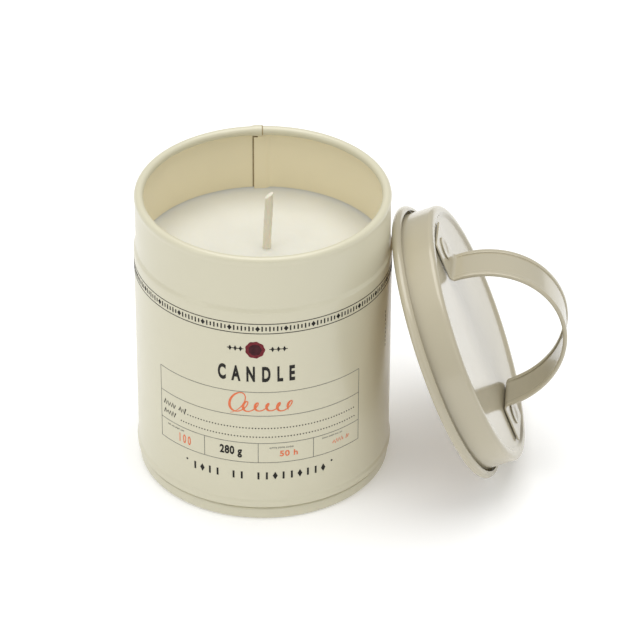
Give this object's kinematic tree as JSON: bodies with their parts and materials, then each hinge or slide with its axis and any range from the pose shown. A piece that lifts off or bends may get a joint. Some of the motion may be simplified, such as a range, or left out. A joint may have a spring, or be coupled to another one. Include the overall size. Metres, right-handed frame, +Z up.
{
  "type": "candle tin",
  "caption": "Round seamed candle tin filled with wax and a wick, with a strap-handled slip-on lid leaning against its wall.",
  "frame": {"origin": "on the floor under the middle of the bounding box of the tin and its leaning lid; the tin's own axis stands at x = -26.9 mm", "axes": "+Z up along the tin's axis, +X from the tin towards the side where the lid leans, +Y towards the back, where the tin's lock side seam is"},
  "size_m": [0.1324, 0.0872, 0.094],
  "materials": {
    "cream_paint": "satin",
    "stone_paint": "gloss",
    "compound": "matte",
    "wax": "satin",
    "cotton": "matte",
    "plain_tinplate": "satin",
    "sticker": "matte"
  },
  "bodies": {
    "tin": {"can_body": "cream_paint", "base_end": "cream_paint", "seam_compound": "compound", "wax_fill": "wax", "wick": "cotton", "wick_sustainer": "plain_tinplate", "wick_sticker": "sticker"},
    "lid": {"lid_shell": "stone_paint", "handle_strap": "stone_paint", "upper_rivet": "stone_paint", "lower_rivet": "stone_paint"}
  },
  "joints": [
    {"name": "lid_swing", "type": "hinge", "parent": "tin", "child": "lid", "pos_m": [-0.13545, 0, 0.08992], "axis": [0, -1, 0], "range_deg": [0, 67.6]}
  ]
}
